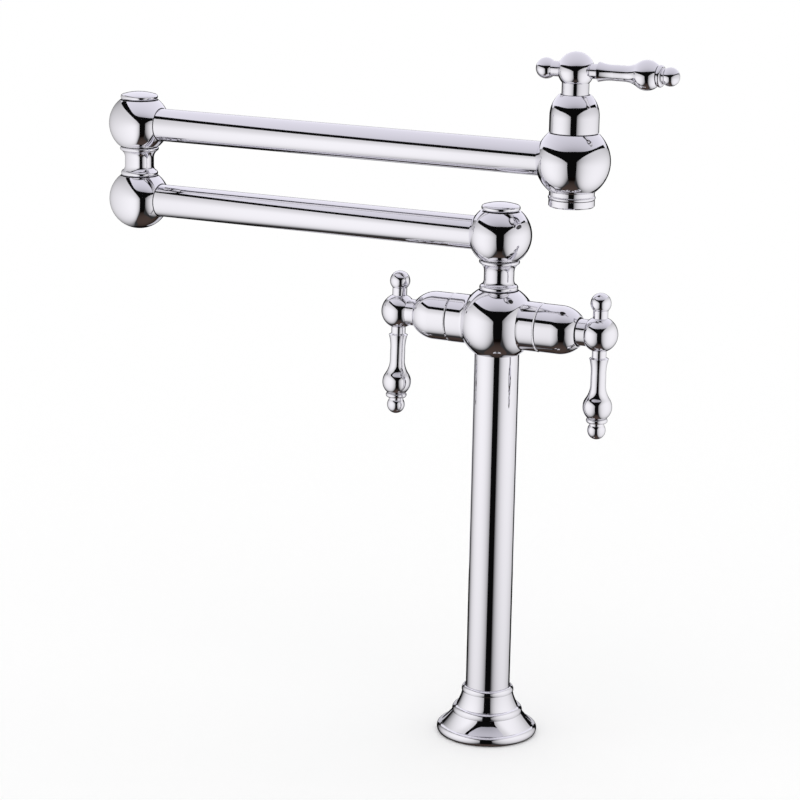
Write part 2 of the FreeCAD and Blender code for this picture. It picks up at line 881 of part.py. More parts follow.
def swivel_ball(label, arm_axis, x, z):
    """A hollow ball, with a shadow groove at its foot, that turns on a neck's spigot and passes the
    water to or from an arm."""
    piece = new_piece(label)
    bore = d.spigot_dia / 2 + d.run_gap
    counterbore = d.counterbore_dia / 2
    ledge = swivel_flat - d.ledge_depth
    foot = swivel_flat_radius - d.swivel_groove_inset
    groove_top = swivel_flat - d.swivel_groove_height
    outline = [
        (-swivel_flat, bore),
        (-swivel_flat, foot),
        (-groove_top, foot),
        (-groove_top, leg(swivel_radius, groove_top)),
        ball(swivel_flat, swivel_flat_radius, swivel_radius),
        (swivel_flat, counterbore),
        (ledge, counterbore),
        (ledge, bore),
    ]
    spin(piece, label + "_shell", "+Z", outline)
    half_chamber = d.chamber_height / 2
    hole(piece, label + "_chamber", "+Z", -half_chamber, half_chamber, d.chamber_dia / 2)
    arm_socket(piece, label, arm_axis, d.arm_inset, swivel_radius)
    hole(piece, label + "_passage", arm_axis, 0, d.arm_inset, d.ball_passage_dia / 2)
    move(piece, x, z)


def arm_socket(piece, label, axis, inset, outside):
    """The hole in a ball that an arm tube is brazed into, with a fine relief around its mouth."""
    hole(piece, label + "_socket", axis, inset, outside, arm_radius + d.fit_gap)
    rim = arm_radius + d.socket_rim_width
    rim_floor = leg(outside, rim) - d.socket_rim_depth
    hole(piece, label + "_rim", axis, rim_floor, outside, rim)


def elbow_lower_ball():
    """The fixed ball at the end of the lower arm, round underneath, that carries the elbow neck."""
    piece = new_piece("elbow_lower_ball")
    outline = [
        (-swivel_radius, 0),
        ball(swivel_flat, swivel_flat_radius, swivel_radius),
        (swivel_flat, 0),
    ]
    spin(piece, "elbow_ball", "+Z", outline)
    tenon_floor = swivel_flat - d.neck_tenon_length
    well = d.water_bore_dia / 2
    hole(piece, "elbow_tenon", "+Z", tenon_floor, swivel_flat, d.neck_tenon_dia / 2 + d.fit_gap)
    hole(piece, "elbow_well", "+Z", -well, tenon_floor, well)
    arm_socket(piece, "elbow", "+X", d.arm_inset, swivel_radius)
    hole(piece, "elbow_passage", "+X", 0, d.arm_inset, d.ball_passage_dia / 2)
    move(piece, elbow_x, shoulder_z)


# Heights on a swivel, measured from the flat that its neck stands on
ball_bottom = d.neck_height + d.face_gap
ball_middle = ball_bottom + swivel_flat
ball_ledge = ball_middle + swivel_flat - d.ledge_depth
spigot_top = ball_ledge + d.spigot_rise
lower_groove = ball_bottom + d.lower_oring_inset
upper_groove = ball_ledge - d.upper_oring_inset
spigot_radius = d.spigot_dia / 2
groove_radius = spigot_radius - d.oring_section - d.fit_gap
half_groove = d.oring_section / 2 + d.oring_side_room
recess_floor = d.neck_height - d.thrust_recess_depth
retainer_hole = d.retainer_thread_dia / 2


def swivel_neck(label, x, z):
    """A turned neck: tenon below, two beads and a waist, and the spigot that the ball turns on."""
    piece = new_piece(label)
    tenon = d.neck_tenon_dia / 2
    waist = d.neck_waist_dia / 2
    lower_flare = waist + d.neck_lower_flare
    upper_flare = waist + d.neck_upper_flare
    lower_bead = d.neck_lower_bead_dia / 2 - d.neck_lower_bead_round
    upper_bead = d.neck_upper_bead_dia / 2 - d.neck_upper_bead_round
    lower_bead_end = d.neck_lower_bead_height
    upper_bead_start = d.neck_height - d.neck_upper_bead_height
    washer_seat = d.thrust_washer_dia / 2 + d.fit_gap
    outline = [
        (-d.neck_tenon_length, 0),
        (-d.neck_tenon_length, tenon),
        (0, tenon),
        (0, lower_bead),
        swell(lower_bead_end, lower_bead, d.neck_lower_bead_round),
        (lower_bead_end, lower_flare),
        cove(lower_bead_end + d.neck_lower_flare_length, waist, d.neck_lower_flare_hollow),
        (upper_bead_start - d.neck_upper_flare_length, waist),
        cove(upper_bead_start, upper_flare, d.neck_upper_flare_hollow),
        (upper_bead_start, upper_bead),
        swell(d.neck_height, upper_bead, d.neck_upper_bead_round),
        (d.neck_height, washer_seat),
        (recess_floor, washer_seat),
        (recess_floor, spigot_radius),
        (lower_groove - half_groove, spigot_radius),
        (lower_groove - half_groove, groove_radius),
        (lower_groove + half_groove, groove_radius),
        (lower_groove + half_groove, spigot_radius),
        (upper_groove - half_groove, spigot_radius),
        (upper_groove - half_groove, groove_radius),
        (upper_groove + half_groove, groove_radius),
        (upper_groove + half_groove, spigot_radius),
        (spigot_top, spigot_radius),
        (spigot_top, 0),
    ]
    spin(piece, label + "_turning", "+Z", outline)
    bore_top = ball_middle + d.water_bore_rise
    hole(piece, label + "_bore", "+Z", -d.neck_tenon_length, bore_top, d.water_bore_dia / 2)
    ports_at = ball_middle - d.port_drop
    hole(piece, label + "_ports", "+X", -spigot_radius, spigot_radius, d.port_dia / 2, ports_at)
    thread_floor = spigot_top - d.retainer_hole_depth
    hole(piece, label + "_thread", "+Z", thread_floor, spigot_top, retainer_hole)
    move(piece, x, z)


def o_rings(label, x, z):
    section = d.oring_section / 2
    middle = groove_radius + section + d.run_gap
    rings = []
    for place, height in (("lower", lower_groove), ("upper", upper_groove)):
        ring = doc.addObject("Part::Torus", f"{label}_{place}")
        ring.setExpression("Radius1", middle.text)
        ring.setExpression("Radius2", section.text)
        move(ring, x, z + height)
        rings.append(ring)
    group(label, rings)


def retaining_screw(label, x, z):
    """The flanged screw in the spigot's end that keeps the ball from lifting off."""
    piece = new_piece(label)
    thread = retainer_hole - d.fit_gap
    head_top = d.retainer_flange_height + d.retainer_head_height
    outline = [
        (-d.retainer_thread_length, 0),
        (-d.retainer_thread_length, thread),
        (0, thread),
        (0, d.retainer_flange_dia / 2),
        (d.retainer_flange_height, d.retainer_flange_dia / 2),
        (d.retainer_flange_height, d.retainer_head_dia / 2),
        (head_top, d.retainer_head_dia / 2),
        (head_top, 0),
    ]
    spin(piece, label + "_turning", "+Z", outline)
    key = hexagon(d.retainer_key_across)
    key_floor = head_top - d.retainer_key_depth
    prism(piece, label + "_key", "+Z", key, key_floor, d.retainer_key_depth, cut=True)
    move(piece, x, z + spigot_top)


def swivel_cap(label, x, z):
    """The domed plug that closes a swivel ball's top."""
    piece = new_piece(label)
    plug = d.counterbore_dia / 2 - d.fit_gap
    rim = d.cap_dia / 2
    shoulder = d.cap_edge_height + d.cap_shoulder_rise
    dome_rim = rim - d.cap_shoulder_inset
    dome_rise = d.cap_dome_rise
    dome = (dome_rim * dome_rim + dome_rise * dome_rise) / (dome_rise * 2)
    outline = [
        (-d.cap_plug_length, 0),
        (-d.cap_plug_length, plug),
        (0, plug),
        (0, rim - d.cap_foot_inset),
        swell(d.cap_edge_height, rim, d.cap_side_swell),
        ball(shoulder, dome_rim, d.cap_edge_round),
        ball(shoulder + dome_rise, 0, dome),
    ]
    spin(piece, label + "_turning", "+Z", outline)
    move(piece, x, z)


def swivel(name, arm_axis, ball_label, x, z):
    """A whole swivel that stands on a flat at height z."""
    swivel_neck(name + "_neck", x, z)
    o_rings(name + "_orings", x, z)
    washer_label = name + "_thrust_washer"
    washer_thickness = d.thrust_recess_depth + d.face_gap - d.lap_gap
    washer_hole = spigot_radius + d.fit_gap
    washer(washer_label, z + recess_floor, washer_thickness, d.thrust_washer_dia / 2, washer_hole, x)
    retaining_screw(name + "_retaining_screw", x, z)
    swivel_ball(ball_label, arm_axis, x, z + ball_middle)
    swivel_cap(name + "_cap", x, z + ball_middle + swivel_flat)


def arm_tube(label, start, end, z):
    piece = new_piece(label)
    inner = arm_radius - d.arm_wall
    outline = [(start, inner), (start, arm_radius), (end, arm_radius), (end, inner)]
    spin(piece, label + "_wall", "+X", outline)
    move(piece, z=z)


def spout_body():
    """The ball at the arm's end: inlet from the tube, a valve pocket above and the outlet below."""
    piece = new_piece("spout_body")
    outline = [
        (-spout_bottom, 0),
        (-spout_bottom, d.spout_bottom_flat_dia / 2),
        ball(spout_top, d.spout_top_flat_dia / 2, spout_radius),
        (spout_top, 0),
    ]
    spin(piece, "spout_ball", "+Z", outline)
    floor = valve_pocket(piece, "spout_pocket", "+Z", spout_top)
    nozzle_top = d.nozzle_tenon_length - spout_bottom
    hole(piece, "spout_seat", "+Z", nozzle_top, floor, d.seat_passage_dia / 2)
    nozzle_hole = d.nozzle_tenon_dia / 2 + d.fit_gap
    hole(piece, "spout_nozzle_hole", "+Z", -spout_bottom, nozzle_top, nozzle_hole)
    arm_socket(piece, "spout", "-X", d.spout_arm_inset, spout_radius)
    inlet = d.spout_inlet_dia / 2
    hole(piece, "spout_inlet", "-X", 0, d.spout_arm_inset, inlet, d.spout_inlet_rise)
    move(piece, spout_x, elbow_z)


def outlet():
    """Below the spout ball: nipple, aerator housing, its perforated insert and its washer."""
    band_end = spout_bottom + d.nozzle_band_height
    bead_end = band_end + d.nozzle_bead_height
    male_end = bead_end + d.nozzle_male_length
    insert_start = male_end + d.aerator_washer_thickness
    lip_start = insert_start + d.aerator_insert_thickness
    end = lip_start + d.aerator_lip_height
    tenon_start = spout_bottom - d.nozzle_tenon_length
    bore = d.nozzle_bore_dia / 2
    bead = d.nozzle_bead_dia / 2 - d.nozzle_bead_round
    nipple = new_piece("outlet_nipple")
    outline = [
        (tenon_start, bore),
        (tenon_start, d.nozzle_tenon_dia / 2),
        (spout_bottom, d.nozzle_tenon_dia / 2),
        (spout_bottom, d.nozzle_band_dia / 2),
        (band_end, d.nozzle_band_dia / 2),
        (band_end, bead),
        swell(bead_end, bead, d.nozzle_bead_round),
        (bead_end, d.nozzle_male_dia / 2),
        (male_end, d.nozzle_male_dia / 2),
        (male_end, bore),
    ]
    spin(nipple, "nipple", "-Z", outline)

    housing = new_piece("aerator_housing")
    inside = d.nozzle_male_dia / 2 + d.fit_gap
    outside = d.aerator_dia / 2
    lip = inside - d.aerator_lip_width
    housing_start = bead_end + d.seam_gap
    outline = [
        (housing_start, inside),
        (housing_start, outside),
        (end - d.aerator_bevel, outside),
        (end, outside - d.aerator_bevel),
        (end, lip),
        (lip_start, lip),
        (lip_start, inside),
    ]
    spin(housing, "housing", "-Z", outline)

    insert = new_piece("aerator_insert")
    rim = inside - d.run_gap
    outline = [(insert_start, 0), (insert_start, rim), (lip_start, rim), (lip_start, 0)]
    spin(insert, "insert", "-Z", outline)
    rings = (
        ("outer", d.aerator_outer_ring_dia / 2, OUTER_AERATOR_HOLES),
        ("inner", d.aerator_inner_ring_dia / 2, INNER_AERATOR_HOLES),
    )
    for name, ring, count in rings:
        jet = d.aerator_hole_dia / 2
        first = hole(insert, name + "_hole", "-Z", insert_start, lip_start, jet, ring)
        pattern = insert.newObject("PartDesign::PolarPattern", name + "_holes")
        pattern.Originals = [first]
        upright = [line for line in insert.Origin.OriginFeatures if line.Role == "Z_Axis"]
        pattern.Axis = (upright[0], [""])
        pattern.Angle = 360
        pattern.Occurrences = count
        insert.Tip = pattern

    seal = new_piece("aerator_washer")
    hollow = rim - d.aerator_washer_width
    outline = [(male_end, hollow), (male_end, rim), (insert_start, rim), (insert_start, hollow)]
    spin(seal, "seal", "-Z", outline)
    for piece in (nipple, housing, insert, seal):
        move(piece, spout_x, elbow_z)


def lever_outline():
    """The lever along its own axis: neck, flared collar, hollow taper, bulb, bead and tip ball."""
    neck = d.lever_neck_dia / 2
    waist = d.lever_waist_dia / 2
    bulb = d.lever_bulb_dia / 2
    sweep = d.lever_cove_radius
    bead = d.lever_bead_dia / 2 - d.lever_bead_round
    tip_neck = d.lever_tip_neck_dia / 2
    tip_ball = d.lever_tip_ball_dia / 2
    flare = d.handle_seat + d.lever_neck_length
    collar = flare + d.lever_flare_length
    waist_start = collar + d.lever_taper_length
    cove_start = waist_start + d.lever_waist_length
    centres = sweep + bulb
    bulb_run = leg(centres, waist + sweep)
    bulb_at = cove_start + bulb_run
    meet_along = bulb_at - bulb * bulb_run / centres
    meet_radius = bulb * (waist + sweep) / centres
    bulb_end = bulb_at + d.lever_bulb_end
    bead_end = bulb_end + d.lever_bead_length
    tip_at = bead_end + d.lever_tip_reach
    tenon = d.handle_tenon_dia / 2
    return [
        (d.handle_seat - d.handle_tenon_length, 0),
        (d.handle_seat - d.handle_tenon_length, tenon),
        (d.handle_seat, tenon),
        (d.handle_seat, neck),
        (flare, neck),
        (collar, d.lever_collar_dia / 2),
        cove(waist_start, waist, d.lever_taper_hollow),
        (cove_start, waist),
        cove_of(meet_along, meet_radius, sweep),
        ball(bulb_end, leg(bulb, d.lever_bulb_end), bulb),
        (bulb_end, bead),
        swell(bead_end, bead, d.lever_bead_round),
        (bead_end, tip_neck),
        (tip_at - leg(tip_ball, tip_neck), tip_neck),
        ball(tip_at + tip_ball, 0, tip_ball),
    ]


def finial_outline():
    neck = d.finial_neck_dia / 2
    knob = d.finial_ball_dia / 2
    tenon = d.handle_tenon_dia / 2
    return [
        (d.handle_seat - d.handle_tenon_length, 0),
        (d.handle_seat - d.handle_tenon_length, tenon),
        (d.handle_seat, tenon),
        (d.handle_seat, neck),
        (d.finial_reach - leg(knob, neck), neck),
        ball(d.finial_reach + knob, 0, knob),
    ]


def handle_hub(piece, axis, lever_axis, finial_axis, reach):
    """The small ball that holds lever and finial, with a collar down over the stem."""
    label = piece.Label
    collar = d.hub_collar_dia / 2
    hub_ball = d.hub_ball_dia / 2
    collar_end = -(reach + d.collar_insert)
    outline = [
        (collar_end, 0),
        (collar_end, collar),
        (-leg(hub_ball, collar), collar),
        ball(hub_ball, 0, hub_ball),
    ]
    spin(piece, label + "_turning", axis, outline)
    stem_hole = d.stem_dia / 2 + d.fit_gap
    stem_floor = d.stem_bore_room - d.stem_end_gap
    hole(piece, label + "_stem_hole", axis, collar_end, stem_floor, stem_hole)
    tenon_hole = d.handle_tenon_dia / 2 + d.fit_gap
    tenon_floor = d.handle_seat - d.handle_tenon_length - d.seam_gap
    seats = (("lever", lever_axis, d.lever_neck_dia), ("finial", finial_axis, d.finial_neck_dia))
    for name, way, neck in seats:
        seat = neck / 2 + d.fit_gap
        socket = [
            (tenon_floor, 0),
            (tenon_floor, tenon_hole),
            (d.handle_seat, tenon_hole),
            (d.handle_seat, seat),
            (hub_ball, seat),
            (hub_ball, 0),
        ]
        spin(piece, f"{label}_{name}_socket", way, socket, cut=True)
    sketch = sketch_facing_rear(piece, label + "_screw_hole", 0)
    draw_circle(sketch, screw_place(axis), d.set_screw_dia / 2 + d.fit_gap)
    extrude(piece, label + "_screw_hole", sketch, collar, True, True)


def screw_place(axis):
    """Where the set screw crosses the collar, in the plane of the handle's axes."""
    inset = d.set_screw_inset if axis[0] == "-" else -d.set_screw_inset
    return (0, inset) if axis[1] == "Z" else (inset, 0)


def set_screw(piece, axis):
    """The grub screw at the collar's rear that holds the hub on the stem."""
    label = piece.Label
    start = d.stem_dia / 2
    end = d.hub_collar_dia / 2 - d.set_screw_sink
    place = screw_place(axis)
    sketch = sketch_facing_rear(piece, label + "_shank", start)
    draw_circle(sketch, place, d.set_screw_dia / 2)
    extrude(piece, label + "_shank", sketch, end - start, True, False)
    key = [(as_size(x) + place[0], as_size(y) + place[1]) for x, y in hexagon(d.set_screw_key_across)]
    sketch = sketch_facing_rear(piece, label + "_key", end - d.set_screw_key_depth)
    draw_polygon(sketch, key)
    extrude(piece, label + "_key", sketch, d.set_screw_key_depth, True, True)


def drive_slot(axis, width, length):
    """A slot's outline across the end of a stem, clear of the moving disc's ports."""
    return rectangle(length, width) if axis[1] == "Z" else rectangle(width, length)


def stem(piece, axis, end):
    """The turning stem, with a flat tongue on its head that drives the moving disc."""
    label = piece.Label
    radius = d.stem_dia / 2
    head = nose_bore - d.face_gap
    outline = [
        (head_bottom, 0),
        (head_bottom, head),
        (head_top, head),
        (head_top, radius),
        (end, radius),
        (end, 0),
    ]
    spin(piece, label + "_turning", axis, outline)
    tongue = drive_slot(axis, d.tongue_width - d.run_gap * 2, d.tongue_length)
    tongue_start = head_bottom - d.tongue_height
    prism(piece, label + "_tongue", axis, tongue, tongue_start, d.tongue_height + d.seam_gap)


def moving_disc(piece, axis):
    label = piece.Label
    disc(piece, axis, moving_bottom, moving_top, nose_bore - d.run_gap, True)
    depth = d.tongue_height + d.lap_gap
    slot = drive_slot(axis, d.tongue_width, d.tongue_length + d.run_gap * 2)
    prism(piece, label + "_slot", axis, slot, moving_top - depth, depth, cut=True)


def handle(name, axis, lever_axis, finial_axis, length, reach, face, hub, rest_turn=None):
    """A handle and all that turns with it.

    face and hub are the (x, z) places of the face that the bonnet stands on and of the hub's
    centre. length is the bonnet's, and reach is from the bonnet's end to the hub's centre. A
    handle across the riser may rest turned about its own axis.
    """

    def piece_at(place, kind):
        piece = new_piece(f"{name}_{kind}")
        move(piece, *place)
        if rest_turn:
            turn(piece, FreeCAD.Vector(1, 0, 0), rest_turn)
        return piece

    handle_hub(piece_at(hub, "hub"), axis, lever_axis, finial_axis, reach)
    spin(piece_at(hub, "lever"), name + "_lever_turning", lever_axis, lever_outline())
    spin(piece_at(hub, "finial"), name + "_finial_turning", finial_axis, finial_outline())
    set_screw(piece_at(hub, "set_screw"), axis)
    stem(piece_at(face, "stem"), axis, length + reach - d.stem_end_gap)
    moving_disc(piece_at(face, "moving_disc"), axis)


deck_flange()
deck_mount()
riser()
supply_tube("hot_supply_tube", -d.supply_offset)
supply_tube("cold_supply_tube", d.supply_offset)
valve_body()

side_hub = d.boss_reach + d.bonnet_length + d.side_hub_reach
valve_seals = []
valve_discs = []
for side, axis, face_x, hub_x, rest_turn in (
    ("hot", "-X", -d.boss_reach, -side_hub, d.hot_rest_turn),
    ("cold", "+X", d.boss_reach, side_hub, None),
):
    bonnet(side + "_bonnet", axis, d.bonnet_length, face_x, d.body_height)
    cartridge(side + "_cartridge", axis, face_x, d.body_height)
    seal = new_body(side + "_seat_seal")
    seat_seal(seal, axis, face_x, d.body_height)
    valve_seals.append(seal)
    lower = new_body(side + "_fixed_disc")
    fixed_disc(lower, axis, face_x, d.body_height)
    valve_discs.append(lower)
    face = (face_x, d.body_height)
    hub = (hub_x, d.body_height)
    handle(side, axis, "-Z", "+Z", d.bonnet_length, d.side_hub_reach, face, hub, rest_turn)
group("valve_seat_seals", valve_seals)
group("valve_fixed_discs", valve_discs)

swivel("shoulder", "-X", "shoulder_ball", 0, d.body_height + body_top)
arm_tube("lower_arm_tube", elbow_x + d.arm_inset, -d.arm_inset, shoulder_z)
elbow_lower_ball()
swivel("elbow", "+X", "elbow_upper_ball", elbow_x, shoulder_z + swivel_flat)
arm_tube("upper_arm_tube", elbow_x + d.arm_inset, spout_x - d.spout_arm_inset, elbow_z)

spout_body()
spout_face = elbow_z + spout_top
spout_hub = spout_face + d.spout_bonnet_length + d.spout_hub_reach
bonnet("spout_bonnet", "+Z", d.spout_bonnet_length, spout_x, spout_face)
cartridge("spout_cartridge", "+Z", spout_x, spout_face)
seat_seal(new_piece("spout_seat_seal"), "+Z", spout_x, spout_face)
fixed_disc(new_piece("spout_fixed_disc"), "+Z", spout_x, spout_face)
handle(
    "spout", "+Z", "+X", "-X", d.spout_bonnet_length, d.spout_hub_reach,
    (spout_x, spout_face), (spout_x, spout_hub),
)
outlet()

doc.recompute()


CUTS = ("PartDesign::Groove", "PartDesign::Pocket", "PartDesign::PolarPattern")


def find_faults():
    """What failed to compute, is no sound solid, or neither adds nor cuts as it should."""
    faults = []
    for thing in doc.Objects:
        if "Invalid" in thing.State or "Error" in thing.State:
            faults.append(f"{thing.Label} did not compute: {thing.State}")
            continue
        base = getattr(thing, "BaseFeature", None)
        if base is None or thing.TypeId == "PartDesign::Body":
            continue
        grown = thing.Shape.Volume - base.Shape.Volume
        if thing.TypeId in CUTS:
            grown = -grown
        if grown <= 0:
            faults.append(f"{thing.Label} changed nothing")
    for piece in pieces:
        if piece.Shape.isNull() or not piece.Shape.isValid() or not piece.Shape.Solids:
            faults.append(f"{piece.Label} is no sound solid")
    return faults


faults = find_faults()
if faults:
    raise SystemExit("\n".join(faults))
os.makedirs("parts", exist_ok=True)
for piece in pieces:
    piece.Shape.exportStep(f"parts/{piece.Label}.step")
print(f"{len(pieces)} pieces written")
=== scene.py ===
import json
import math
import bpy
from mathutils import Matrix, Quaternion, Vector

# A mirror-chromed, deck-mounted pot filler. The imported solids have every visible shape, so this
# script gives each one its finish, and sets up the light tent, the floor and the camera.

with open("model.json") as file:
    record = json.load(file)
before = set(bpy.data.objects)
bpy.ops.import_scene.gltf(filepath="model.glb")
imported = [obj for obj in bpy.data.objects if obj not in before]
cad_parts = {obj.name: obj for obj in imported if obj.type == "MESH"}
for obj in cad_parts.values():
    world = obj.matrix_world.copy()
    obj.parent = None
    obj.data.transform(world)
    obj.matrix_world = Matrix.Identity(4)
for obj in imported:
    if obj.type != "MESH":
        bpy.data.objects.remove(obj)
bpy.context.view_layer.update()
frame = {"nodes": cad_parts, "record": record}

MM = 0.001

# The camera, in metres, with the lens for a 36 mm wide picture
CAMERA_PLACE = Vector((0.69936, -1.58186, 0.64301))
CAMERA_AIM = Vector((-0.04931, -0.04211, 0.23207))
CAMERA_ROLL = math.radians(1.1212)
LENS_MM = 121.8
SENSOR_MM = 36.0

# Brass pieces that lie along X. The others stand along Z.
TURNED_ACROSS = ("hot_cartridge", "cold_cartridge", "hot_stem", "cold_stem")

# The light tent that the chrome mirrors, in metres from the riser: (right, front, top) as seen
# from the camera. Two white walls leave the front open, the roof slopes down to the back, and a
# pale cloth hangs high up behind, with a low grey card under it.
LEFT_WALL = [
    (-0.17, 0.60, 0.42), (-0.26, 0.42, 0.505), (-0.33, 0.20, 0.52),
    (-0.37, 0.00, 0.525), (-0.40, -0.20, 0.53), (-0.38, -0.36, 0.51), (-0.33, -0.47, 0.44),
]
RIGHT_WALL = [
    (0.12, 0.60, 0.45), (0.215, 0.40, 0.535), (0.27, 0.18, 0.535),
    (0.32, 0.00, 0.525), (0.32, -0.17, 0.48), (0.27, -0.31, 0.42),
]
TENT_FOOT = -0.74
BACK_CLOTH = [(-1.25, -1.0, 1.25), (-0.6, -1.2, 1.25), (0.6, -1.2, 1.25), (1.25, -1.0, 1.25)]
BACK_CLOTH_FOOT = 0.55
BACK_CARD = [(-0.2, -0.42, 0.17), (0.0, -0.42, 0.17), (0.2, -0.42, 0.17)]
BACK_CARD_FOOT = -0.02
DRAPE_LEVELS = 4

# The roof, whose outline lies between an oval and a rectangle
ROOF_HALF_WIDTH = 0.393
ROOF_SHIFT = 0.021
ROOF_FRONT = 0.46
ROOF_BACK = 0.70
ROOF_HEIGHT = 0.61
ROOF_SLOPE = 0.23
ROOF_SQUARENESS = 2.6
ROOF_CORNERS = 96

# A small tent outside each wall, for an arm that is swung out past it. Its low roof runs from one
# of the wall's points, counted from the front, to the back.
SIDE_TENT_WIDTH = 0.45
SIDE_TENT_RISE = 0.02
SIDE_ROOF_DROP = 0.02
LEFT_ROOF_START = 3
RIGHT_ROOF_START = 1

# The dark room around the tent
ROOM_HALF_SIZE = 1.3

# How the cloths glow: a reach so wide that nothing dims along it, the glow of what has no lamp
# behind it, and the dusk near a top edge. Dusk is the height where it starts, the height where it
# ends, and the share of the glow that is left there.
WIDE = 100.0
UNLIT = 0.004
NO_DUSK = (1.0, 2.0, 1.0)
WALL_DUSK = (0.33, 0.5, 0.77)

FLOOR_SIZE = 40.0
FLOOR_DROP = 0.2 * MM


def linear(colour):
    """A hex sRGB colour as linear red, green, blue and a full alpha."""
    channels = [int(colour[i:i + 2], 16) / 255 for i in (1, 3, 5)]
    return [c / 12.92 if c <= 0.04045 else ((c + 0.055) / 1.055) ** 2.4 for c in channels] + [1.0]


def add_node(tree, kind, inputs=None, **settings):
    """A node with its settings, and its sockets set to a value or linked to another's output."""
    node = tree.nodes.new(kind)
    for name, value in settings.items():
        setattr(node, name, value)
    for socket, value in (inputs or {}).items():
        if isinstance(value, bpy.types.NodeSocket):
            tree.links.new(value, node.inputs[socket])
        else:
            node.inputs[socket].default_value = value
    return node


def new_material(name):
    """A material with an empty node tree."""
    material = bpy.data.materials.new(name)
    material.use_nodes = True
    material.node_tree.nodes.clear()
    return material


def finish_with(tree, shader):
    """Show a shader as the material's surface."""
    add_node(tree, "ShaderNodeOutputMaterial", {"Surface": shader.outputs[0]})


def per_metre(size_mm):
    """A texture scale that repeats about once in a real size."""
    return 1 / (size_mm * MM)


def polished_chrome():
    """Chromium plating on buffed brass: a cool mirror with sharp reflections, a breath of polishing
    haze, the long low waves that hand buffing leaves, and edges that the mop has rounded over. Its
    colour has painted shade in the seams and gaps, and goes dark where little of the open room reaches
    in."""
    haze_mm = 20.0
    haze_from, haze_to = 0.3, 0.7
    clear_roughness, hazy_roughness = 0.015, 0.04
    wave_mm = 7.0
    wave_height_mm = 0.0016
    edge_round_mm = 0.3
    seam_shade_reach_mm = 2.0
    shade_full_below, shade_none_above = 0.2, 0.55
    material = new_material("polished_chrome_plate")
    tree = material.node_tree
    place = add_node(tree, "ShaderNodeTexCoord").outputs["Object"]
    haze = add_node(tree, "ShaderNodeTexNoise", {
        "Vector": place, "Scale": per_metre(haze_mm), "Detail": 4.0,
    })
    roughness = add_node(tree, "ShaderNodeMapRange", {
        "Value": haze.outputs["Fac"], "From Min": haze_from, "From Max": haze_to,
        "To Min": clear_roughness, "To Max": hazy_roughness,
    })
    edges = add_node(tree, "ShaderNodeBevel", {"Radius": edge_round_mm * MM}, samples=4)
    # Painted shade: ambient occlusion over a short reach sets how much of the chrome colour is left in
    # seams, gaps and crevices
    openness = add_node(tree, "ShaderNodeAmbientOcclusion", {
        "Distance": seam_shade_reach_mm * MM,
    }, samples=8)
    unshaded_share = add_node(tree, "ShaderNodeMapRange", {
        "Value": openness.outputs["AO"], "From Min": shade_full_below, "From Max": shade_none_above,
    })
    # The painted shade is this near-black, which the chrome colour goes to where the ambient occlusion
    # closes in
    colour = add_node(tree, "ShaderNodeMix", {
        "Factor": unshaded_share.outputs["Result"], "A": linear("#1B1916"), "B": linear("#E3E2E6"),
    }, data_type="RGBA")
    waves = add_node(tree, "ShaderNodeTexNoise", {
        "Vector": place, "Scale": per_metre(wave_mm), "Detail": 1.0,
    })
    bump = add_node(tree, "ShaderNodeBump", {
        "Height": waves.outputs["Fac"], "Distance": wave_height_mm * MM, "Strength": 1.0,
        "Normal": edges.outputs["Normal"],
    })
    finish_with(tree, add_node(tree, "ShaderNodeBsdfPrincipled", {
        "Base Color": colour.outputs["Result"], "Metallic": 1.0,
        "Roughness": roughness.outputs["Result"], "Normal": bump.outputs["Normal"],
    }))
    return material


def worked_surface(name, light, dark, metallic, roughness, mark_mm, mark_depth_mm, ior=1.5):
    """A surface with the fine marks of its making, whose size along X, Y and Z is in millimetres:
    rings are short along the turning axis only, and draw lines are long along the tube. The marks
    are drawn a few times coarser than real ones, which would be too fine to show."""
    patch_mm = 9.0
    smooth_from, rough_to = 0.1, 0.4
    material = new_material(name)
    tree = material.node_tree
    place = add_node(tree, "ShaderNodeTexCoord").outputs["Object"]
    stretched = add_node(tree, "ShaderNodeVectorMath", {
        0: place, 1: [per_metre(size) for size in mark_mm],
    }, operation="MULTIPLY")
    marks = add_node(tree, "ShaderNodeTexNoise", {
        "Vector": stretched.outputs["Vector"], "Scale": 1.0, "Detail": 3.0,
    })
    patches = add_node(tree, "ShaderNodeTexNoise", {
        "Vector": place, "Scale": per_metre(patch_mm), "Detail": 5.0,
    })
    uneven = add_node(tree, "ShaderNodeMath", {
        0: marks.outputs["Fac"], 1: patches.outputs["Fac"],
    }, operation="MULTIPLY")
    colour = add_node(tree, "ShaderNodeMix", {
        "Factor": patches.outputs["Fac"], "A": linear(light), "B": linear(dark),
    }, data_type="RGBA")
    gloss = add_node(tree, "ShaderNodeMapRange", {
        "Value": uneven.outputs["Value"], "From Min": smooth_from, "From Max": rough_to,
        "To Min": roughness[0], "To Max": roughness[1],
    })
    bump = add_node(tree, "ShaderNodeBump", {
        "Height": marks.outputs["Fac"], "Distance": mark_depth_mm * MM, "Strength": 1.0,
    })
    finish_with(tree, add_node(tree, "ShaderNodeBsdfPrincipled", {
        "Base Color": colour.outputs["Result"], "Metallic": metallic, "IOR": ior,
        "Roughness": gloss.outputs["Result"], "Normal": bump.outputs["Normal"],
    }))
    return material


def turned_brass(name, ring_mm):
    """Bare brass off the lathe: warm yellow, with fine rings that blur its reflections."""
    return worked_surface(
        name, "#CFAA62", "#B58C46", metallic=1.0, roughness=(0.2, 0.38),
        mark_mm=ring_mm, mark_depth_mm=0.008,
    )


